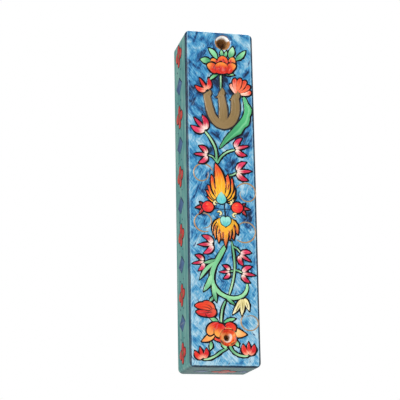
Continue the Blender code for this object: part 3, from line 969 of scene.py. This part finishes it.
# Each head's slanted top edge, from its notch to its tip, and how deep it is below that edge
SHIN_HEADS = [
    ((-6.9, 43.0), (-4.2, 44.9), 2.2), ((-1.5, 42.0), (0.8, 46.0), 2.3), ((4.1, 41.3), (7.1, 45.3), 2.6)
]
shin_strokes = []
for filled in (False, True):
    for places, widths in SHIN_ARMS:
        line = line_through(places, 64)
        half = np.interp(line[0], *np.array(widths).T)
        half = np.convolve(np.pad(half, 2, mode="edge"), np.full(5, 0.2), mode="valid")
        shin_part(shin_strokes, line, half, filled)
    for notch, tip, deep in SHIN_HEADS:
        v, points = bowed(notch, tip)
        way = (np.array(tip) - notch) / math.dist(notch, tip)
        half = deep / 2 * swell(v, 0.95, 0.9)
        shin_part(shin_strokes, (v, points + half[:, None] * [way[1], -way[0]]), half, filled)


def spiral(centre, start, wide, narrow, turns):
    """A curl from radius wide to narrow round its centre: the radius falls evenly with the angle, which
    begins at start degrees and makes the given turns, to the left if positive."""
    v = np.linspace(0, 1, 44)
    angle = math.radians(start) + 2 * math.pi * turns * v
    radius = wide + (narrow - wide) * v
    return v, np.array(centre) + radius[:, None] * np.stack([np.cos(angle), np.sin(angle)], -1)


curl_strokes = []
for centre, start, wide, narrow, turns in (
    ((-7.9, 11.0), 14, 4.4, 2.3, 1.02),
    ((10.0, 3.5), 155, 4.6, 2.5, -1.0),
    ((-7.6, -8.4), -62, 4.3, 2.6, -1.12),
    ((9.0, -11.8), 222, 5.0, 3.0, 0.92),
    ((10.2, -49.4), 130, 3.9, 2.7, 0.98),
):
    v, curl = spiral(centre, start, wide, narrow, turns)
    half = 0.30 * np.minimum(1, swell(v, 0.2, 0.35)) * (1 + 0.15 * np.sin(11 * v))
    lay_stroke(curl_strokes, (v, curl), half, 0.0, "a8845c", "9b8468", around=8)

bronze, tree, shader, paint = stroke_base("bronze_paint", 0.38, 1.0, 0.5, 0.42)
flake = node(tree, "ShaderNodeTexVoronoi", Scale=5200.0)
tree.links.new(own_place(tree), flake.inputs["Vector"])
glitter = sums(tree, "MULTIPLY", between(tree, flake.outputs["Distance"], 0.35, 0.1), paint["Life"])
glittered = mix(tree, sums(tree, "MULTIPLY", glitter, 0.3), paint["Color"], tone("c8a871"))
tree.links.new(glittered, shader.inputs["Base Color"])
metal = sums(tree, "MULTIPLY_ADD", paint["Life"], 0.25, sums(tree, "MULTIPLY", glitter, 0.25))
tree.links.new(metal, shader.inputs["Metallic"])
painted_piece("shin", shin_strokes, FRONT_PAGE, bronze)
painted_piece("bronze_curls", curl_strokes, FRONT_PAGE, bronze)


# The tulips are opened buds of three pointed petals, white where they leave the stem and crimson at their
# tips. Three more, beside the letter and at the foot, are red. Each petal is one press of a round brush.
PINK = [("f0e0d2", "c42048"), ("f2e2d4", "bf1c40"), ("ecd2ca", "cf3058")]
RED = [("f3b394", "cd2420"), ("f0a484", "c81e24"), ("f3ae8e", "d63024")]
tulips = []


def tulip(x, z, way, length, spread, colours=PINK, wide=0.34):
    """Three petals from one root: the middle one along way, in degrees, and one to each side, which cups it
    at spread degrees from it."""
    petals = []
    for turn, part, broad in ((0, 1.04, 0.72), (-1, 0.95, 1.12), (1, 0.95, 1.12)):
        angle = math.radians(way + turn * spread)
        push = 0.55 * turn * spread / 45
        root = (x - push * math.sin(math.radians(way)), z + push * math.cos(math.radians(way)))
        tip = (x + length * part * math.cos(angle), z + length * part * math.sin(angle))
        petals.append((*root, *tip, broad * wide * length, 0.11 * turn * length))
    paint_petals(tulips, petals, 0.04, colours, shape=(0.42, 0.72), inner=0.13)


for spec in (
    (-6.4, 28.6, 133, 6.2, 33),
    (-5.8, 18.6, 178, 4.9, 46),
    (5.9, 21.6, 14, 5.2, 45),
    (6.3, 12.3, 4, 5.6, 43),
    (-4.3, -17.6, 183, 5.5, 44),
    (-8.0, -24.9, 190, 4.3, 50),
    (2.2, -28.7, 182, 3.7, 49),
    (6.7, -21.6, -32, 4.7, 44),
    (7.5, -29.2, -8, 4.8, 46),
):
    tulip(*spec)
tulip(-5.5, 44.8, 122, 5.1, 42, RED)
tulip(-9.0, -64.6, 103, 4.5, 33, RED, 0.42)
tulip(9.2, -62.9, 90, 5.0, 28, RED, 0.42)
painted_piece("tulips", tulips, FRONT_PAGE, stroke_paint("tulip_paint", 0.22, 0.65))


# The lotus stands in the ring of leaves under the upper screw, in two rows of round red petals with orange
# rims. The fan flower beside the letter has six narrow petals in one row, painted in a lighter red.
lotus = []
RIM_ORANGE, LOTUS_RED = "ef9440", "cf2c16"
paint_petals(
    lotus,
    [(-0.6, 53.4, -2.9, 57.5, 3.4, 0.2), (4.0, 53.4, 5.7, 58.4, 3.3, -0.2), (1.4, 53.4, 1.4, 58.7, 4.9, 0.0)],
    0.05,
    [(LOTUS_RED, "ec8a38"), (LOTUS_RED, "ee9a4c"), ("cc2418", "ea6c2c")],
    shape=(0.5, 0.5),
    inner=0.3,
)
paint_petals(
    lotus,
    [(-1.2, 52.1, -5.0, 55.0, 3.6, -0.5), (3.0, 52.2, 6.7, 55.3, 3.6, 0.6), (0.9, 51.6, 0.8, 56.2, 6.6, 0.0)],
    0.12,
    [(LOTUS_RED, RIM_ORANGE), (LOTUS_RED, RIM_ORANGE), ("cc2818", "ec8830")],
    shape=(0.36, 0.5),
    inner=0.3,
)
fine_lines(
    lotus,
    [([(-1.5, 52.6), (-2.0, 54.8)], 0.8), ([(0.2, 52.3), (0.0, 54.9)], 0.9),
     ([(2.2, 52.4), (2.8, 54.9)], 0.8), ([(-1.0, 55.9), (-1.6, 57.0)], 0.7),
     ([(1.6, 56.2), (1.7, 57.8)], 1.2), ([(4.6, 55.9), (4.9, 57.6)], 0.7)],
    0.185,
    "b01512",
    "d03018",
    (0.5, 0.8),
)
paint_petals(
    lotus,
    [(7.4, 43.9, 12.9, 44.7, 2.4, 0.0), (7.2, 43.9, 12.4, 47.2, 2.4, 0.0), (6.4, 43.7, 4.4, 47.6, 2.1, -0.3),
     (7.0, 43.9, 10.8, 49.2, 2.4, 0.0), (6.6, 43.8, 6.2, 49.9, 2.2, 0.0), (6.8, 43.9, 8.6, 50.0, 2.3, 0.0)],
    0.05,
    [("f3c6b0", "dc4424"), ("e5663f", "d83c22"), ("f2b7a6", "e88a70"), ("e5663f", "da4226"),
     ("ee8f78", "d63a24"), ("e76a45", "d9442a")],
    shape=(0.8, 0.42),
    inner=0.3,
)
painted_piece("lotus_and_fan", lotus, FRONT_PAGE, stroke_paint("lotus_paint", 0.72, 0.75))


# The two flame flowers grow up and down from the middle: tongues of yellow that burn orange to red at their
# tips, round a drop of turquoise. Pomegranates, pale curls and a thin black cross tie them together.
flames = []
YELLOW, FLAME, BURNT = "efac26", "dc4720", "bf5220"

# Each tongue's places and its width, from the back of the flower to the front
UPPER = [
    ([(-2.4, -0.3), (-4.0, 0.6), (-6.0, 1.6)], 1.8), ([(2.2, -0.3), (3.8, 1.0), (5.4, 3.6)], 2.0),
    ([(-2.4, 0.3), (-4.2, 2.2), (-6.4, 4.2)], 2.2), ([(-2.2, 0.5), (-3.9, 3.6), (-5.7, 6.3)], 2.6),
    ([(2.2, 0.4), (4.0, 3.2), (4.7, 6.8)], 2.4), ([(1.9, 1.0), (3.3, 5.0), (4.1, 9.4)], 2.5),
    ([(-1.6, 1.6), (-3.1, 6.0), (-4.3, 10.4)], 2.7), ([(1.2, 1.6), (2.0, 6.2), (2.4, 10.9)], 2.6),
    ([(-0.3, 1.6), (-0.7, 7.0), (-1.4, 11.4), (-2.5, 15.2)], 4.3),
]
LOWER = [
    ([(-1.0, -7.2), (-3.0, -9.6), (-4.0, -13.4)], 2.0), ([(3.0, -7.2), (5.0, -9.8), (6.0, -13.2)], 2.2),
    ([(-0.6, -7.6), (-2.5, -11.0), (-3.1, -15.2)], 2.2), ([(2.6, -7.6), (3.7, -11.4), (4.2, -15.4)], 2.2),
    ([(-0.1, -7.8), (-1.4, -12.2), (-1.8, -16.8)], 2.1), ([(1.9, -8.0), (2.5, -12.0), (2.7, -15.6)], 2.0),
    ([(0.4, -8.0), (-0.2, -12.0), (-0.5, -15.4)], 2.0), ([(1.0, -8.0), (1.1, -13.0), (0.9, -18.4)], 2.2),
]
for rows, tips in ((UPPER, (FLAME, "df4a2a")), (LOWER, ("d9742e", BURNT))):
    for i, (places, wide) in enumerate(rows):
        line = line_through(places)
        half = wide / 2 * swell(line[0], 0.55, 0.85)
        inked(flames, line, half, 0.05 + 0.02 * i, YELLOW, tips[i % 2], lift=0.012)
for places, wide, tip in (
    ([(-0.6, 1.0), (-0.8, 4.6), (-1.1, 8.4)], 5.2, "edaa30"),
    ([(1.1, -6.4), (1.1, -9.6), (1.0, -13.8)], 7.0, "eba42c"),
):
    fine_lines(flames, [(places, wide)], 0.21, "f1b62e", tip, (0.4, 0.9), 26)
fine_lines(
    flames,
    [([(-2.6, 2.6), (-3.3, 4.6)], 0.5), ([(2.2, 4.6), (2.9, 7.2)], 0.6),
     ([(-2.6, 4.6), (-3.2, 7.4)], 0.5), ([(1.4, 5.4), (1.8, 8.6)], 0.5),
     ([(-1.4, -11.0), (-1.9, -13.6)], 0.5), ([(0.2, -12.4), (0.0, -14.6)], 0.5),
     ([(2.3, -11.6), (2.7, -14.2)], 0.5), ([(4.2, -9.8), (5.4, -12.0)], 0.5),
     ([(-2.6, -9.6), (-3.5, -12.2)], 0.5)],
    0.235,
    "a63c22",
    "7c2a1c",
    (0.6, 0.6),
)
drop = bowed((-0.4, -1.0), (-0.4, 3.9))
inked(flames, drop, 2.0 * swell(drop[0], 0.5, 1.0), 0.22, "5fbdbf", "8fd0c2", lift=0.03, width=0.4)
heart = [bowed((x, -6.2), (1.1, -10.3), bow) for x, bow in ((0.3, -0.5), (1.9, 0.5))]
heart_half = 1.25 * swell(heart[0][0], 0.5, 0.9)
for line in heart:
    outline(flames, line, heart_half, 0.22, 0.4)
for line in heart:
    lay_stroke(flames, line, heart_half, 0.25, "8fd3c6", "58b9b8")
painted_piece("flame_flowers", flames, FRONT_PAGE, stroke_paint("flame_paint", 0.6, 0.7))

fruit = []
for places, half, level, root in (
    ([(0.8, -0.6), (0.9, -3.0), (1.2, -6.2)], 0.3, 0.02, "1c2c44"),
    ([(-3.6, -2.9), (0.0, -3.2), (4.0, -3.0)], 0.14, 0.025, INK),
):
    line = line_through(places)
    lay_stroke(fruit, line, half * swell(line[0], 0.15, 0.15), level, root, INK, 0.0)
for x, side in ((-5.9, -1), (6.0, 1)):
    crown = [
        (x + side * 1.4, -2.4, x + side * reach, z, 1.1, 0.0)
        for reach, z in ((3.2, -0.6), (3.4, -5.4), (4.9, -2.9))
    ]
    crown_reds = [("b7202c", "7c1a20"), ("c7252e", "a51f28"), ("cf2430", "a51f28")]
    paint_petals(fruit, crown, 0.03, crown_reds, shape=(0.5, 0.8))
    line = bowed((x - side * 2.25, -2.4), (x + side * 2.25, -2.4))
    ball = 2.15 * swell(line[0], 0.5, 0.5)
    inked(fruit, line, ball, 0.10, "e4402c", "d61f2a", lift=0.03, life=0.5, body=0.07)
    spark = bowed((x - 0.8, -1.6), (x + 0.5, -1.5), 0.2, 12)
    lay_stroke(fruit, spark, 0.32 * swell(spark[0], 0.5, 0.5), 0.17, "ee6a3c", "e8502f", 0.4)
for centre, start, turns, size in (
    ((-2.7, -0.9), 20, 0.75, 0.95),
    ((-1.9, -0.3), 80, 0.6, 0.6),
    ((3.0, -0.6), 160, -0.75, 0.95),
    ((3.9, 0.2), 120, -0.5, 0.6),
    ((-1.3, -5.0), 150, -0.7, 0.95),
    ((4.9, -5.6), 30, 0.75, 0.9),
):
    line = spiral(centre, start, size, size * 0.5, turns)
    half = 0.42 * size * swell(line[0], 0.4, 0.4)
    inked(fruit, line, half, 0.10, "e3d38f", "d9cf9f", lift=0.025, width=0.2, life=0.8)
painted_piece("pomegranates", fruit, FRONT_PAGE, stroke_paint("fruit_paint", 0.5, 0.5))


# The lower flowers hang from the big stem: a drooping bell of pale yellow, a fat red bud across from it,
# and the wide orange and red bloom that the lower screw goes through.
bloom = []
paint_petals(
    bloom,
    [(6.8, -40.0, 3.2, -46.2, 1.8, 0.2), (8.1, -39.6, 9.8, -44.6, 1.8, 0.1),
     (7.4, -39.8, 6.8, -46.6, 1.9, 0.0)],
    0.03,
    [("d9cc90", "ebe0ae"), ("e6d99c", "efe6bb"), ("cfc184", "e6dba4")],
    shape=(0.45, 0.8),
)
bell_creases = ([(7.3, -41.0), (7.2, -44.6)], [(6.0, -42.0), (4.4, -45.0)], [(8.6, -41.0), (9.4, -43.6)])
fine_lines(bloom, [(places, 0.4) for places in bell_creases], 0.115, "8a7b3e", "6f6a3a", (0.6, 0.6), 12)
bud_creases = (
    [(-4.9, -44.8), (-7.0, -43.6), (-9.2, -43.4)],
    [(-4.9, -45.2), (-7.6, -44.7), (-10.0, -44.2)],
    [(-4.9, -45.6), (-7.4, -45.8), (-9.4, -46.0)],
    [(-4.8, -44.4), (-6.0, -42.9), (-7.6, -42.4)],
)
fine_lines(bloom, [(places, 0.34) for places in bud_creases], 0.16, "4c0c10", "7a1416", (0.5, 0.8), 16)
paint_petals(
    bloom,
    [(-4.2, -44.6, -8.4, -41.4, 2.6, -0.6), (-4.6, -44.2, -11.6, -42.9, 3.0, -0.5),
     (-4.4, -45.6, -11.2, -45.4, 2.7, 0.5), (-3.8, -44.4, -7.4, -46.7, 3.0, 0.6)],
    0.04,
    [("e0603a", "d43a22"), ("e04a26", "da3018"), ("c21c20", "cf2420"), ("d84a34", "bf1a22")],
    shape=(0.5, 0.5),
    inner=0.24,
)
paint_petals(
    bloom,
    [(-4.4, -56.1, -0.7, -57.4, 2.2, 0.3), (1.2, -58.1, 4.3, -56.6, 2.4, -0.4),
     (-1.4, -57.4, 1.2, -58.5, 1.6, -0.3)],
    0.03,
    [("d8402c", "d8302a"), ("cd5a2a", "b9441f"), ("cd4a2a", "c93a26")],
    shape=(0.45, 0.5),
)
paint_petals(
    bloom,
    [(-4.6, -54.0, -9.2, -57.6, 2.8, 0.5), (2.7, -53.2, 8.4, -54.5, 3.6, -0.3)],
    0.07,
    [("f0a85c", "e38c46"), ("f6c07c", "ec9a4c")],
    shape=(0.4, 0.8),
)
paint_petals(
    bloom,
    [(-2.0, -50.3, -6.4, -54.9, 3.8, -1.0), (0.2, -50.6, 3.7, -53.2, 3.2, 0.8),
     (0.6, -51.2, 1.3, -54.0, 2.6, 0.2), (-1.6, -50.2, -2.6, -55.8, 4.8, 0.0)],
    0.12,
    [("cf1c18", "ef9444"), ("cf1c18", "dc4020"), ("d8341c", "f3aa5c"), ("cc1814", "f09a40")],
    shape=(0.5, 0.45),
    inner=0.2,
)
painted_piece("lower_flowers", bloom, FRONT_PAGE, stroke_paint("bloom_paint", 0.55, 0.45))


# A chain of red flowers, slate lozenges and dots runs up both sides and across the two ends. It is quicker
# work than the front: four dabs of the brush for a flower, one for a lozenge and its tip for a dot, under
# less lacquer.
LEFT_PAGE = ((-half_width - COAT, 0, 0), (0, -1, 0), (0, 0, 1))
RIGHT_PAGE = ((half_width + COAT, 0, 0), (0, 1, 0), (0, 0, 1))
UNDER_PAGE = ((0, 0, -half_height - COAT), (1, 0, 0), (0, -1, 0))
UPPER_PAGE = ((0, 0, half_height + COAT), (1, 0, 0), (0, 1, 0))
CHAIN_MIDDLE = 9.8  # in front of the back face
FLOWER_PITCH = 24.5
SIDE_FLOWERS = 6
chance = np.random.default_rng(5)


def chain_flower(strokes, x, z, size, turned=4):
    """Four round petals on the arms of a cross, turned by a few degrees, round an olive eye, each a little
    off by chance."""
    petals = []
    for quarter in range(4):
        angle = math.radians(turned + 90 * quarter + chance.uniform(-8, 8))
        reach = size * chance.uniform(0.92, 1.08) * (1.0 if quarter % 2 else 1.12)
        way = np.array([math.cos(angle), math.sin(angle)])
        petals.append((x - 0.3 * way[0], z - 0.3 * way[1], *([x, z] + reach * way), size * 0.86, 0.0))
    reds = [("9c2c2a", "cc3426"), ("a82c28", "c42420"), ("942626", "d0422c")]
    paint_petals(strokes, petals, 0.03, reds, (0.6, 0.45), 0.3)
    eye = bowed((x - 0.9, z - 0.5), (x + 0.9, z + 0.5), 0.2, 14)
    lay_stroke(strokes, eye, 0.75 * swell(eye[0], 0.5, 0.5), 0.12, "4c5a34", "6f7a44", 0.6)


def chain_lozenge(strokes, x, z, wide, high):
    """A lozenge: half its height times (1 - |2 v - 1|) along its width, with ink under its upper edges."""
    line = bowed((x - wide / 2, z), (x + wide / 2, z), chance.uniform(-0.2, 0.2), 23)
    half = high / 2 * (1.02 - np.abs(2 * line[0] - 1))
    lay_stroke(strokes, (line[0], line[1] + [0.25, 0.2]), half * 1.04, 0.01, "1a2740", "141e32", 0.3)
    lay_stroke(strokes, line, half, 0.03, "2f4c76", "446691", 1.0)


def chain_dot(strokes, x, z):
    """A touch of the brush's tip, drawn out a little."""
    line = bowed((x - 0.45, z), (x + 0.45, z + chance.uniform(-0.3, 0.3)), 0.0, 8)
    lay_stroke(strokes, line, 0.4 * swell(line[0], 0.5, 0.5), 0.02, "2e4a66", "243a54", 0.2, around=8)


def hang_chain(name, chain, page):
    """One chain as a piece of its own, in the chains' thinly lacquered paint."""
    painted_piece(f"chain_{name}", chain, page, stroke_paint(f"chain_paint_{name}", 0.5, 0.6, 0.25))


for name, page, side in (("left", LEFT_PAGE, 1), ("right", RIGHT_PAGE, -1)):
    chain = []
    for k in range(SIDE_FLOWERS):
        z = ((SIDE_FLOWERS - 1) / 2 - k) * FLOWER_PITCH + 0.4
        chain_flower(chain, side * CHAIN_MIDDLE, z, 4.6)
    for k in range(SIDE_FLOWERS - 1):
        z = ((SIDE_FLOWERS - 2) / 2 - k) * FLOWER_PITCH + 0.6
        chain_lozenge(chain, side * CHAIN_MIDDLE, z, 10.4, 7.0)
        for up in (-6.2, 6.2):
            for over_by in (-3.0, 2.6):
                chain_dot(chain, side * CHAIN_MIDDLE + over_by, z + up)
    hang_chain(name, chain, page)
for name, page, side in (("under", UNDER_PAGE, 1), ("upper", UPPER_PAGE, -1)):
    chain = []
    chain_flower(chain, 2.2, side * CHAIN_MIDDLE, 4.2)
    chain_lozenge(chain, -6.9, side * CHAIN_MIDDLE, 6.4, 6.0)
    chain_lozenge(chain, 9.8, side * CHAIN_MIDDLE, 4.6, 5.4)
    hang_chain(name, chain, page)
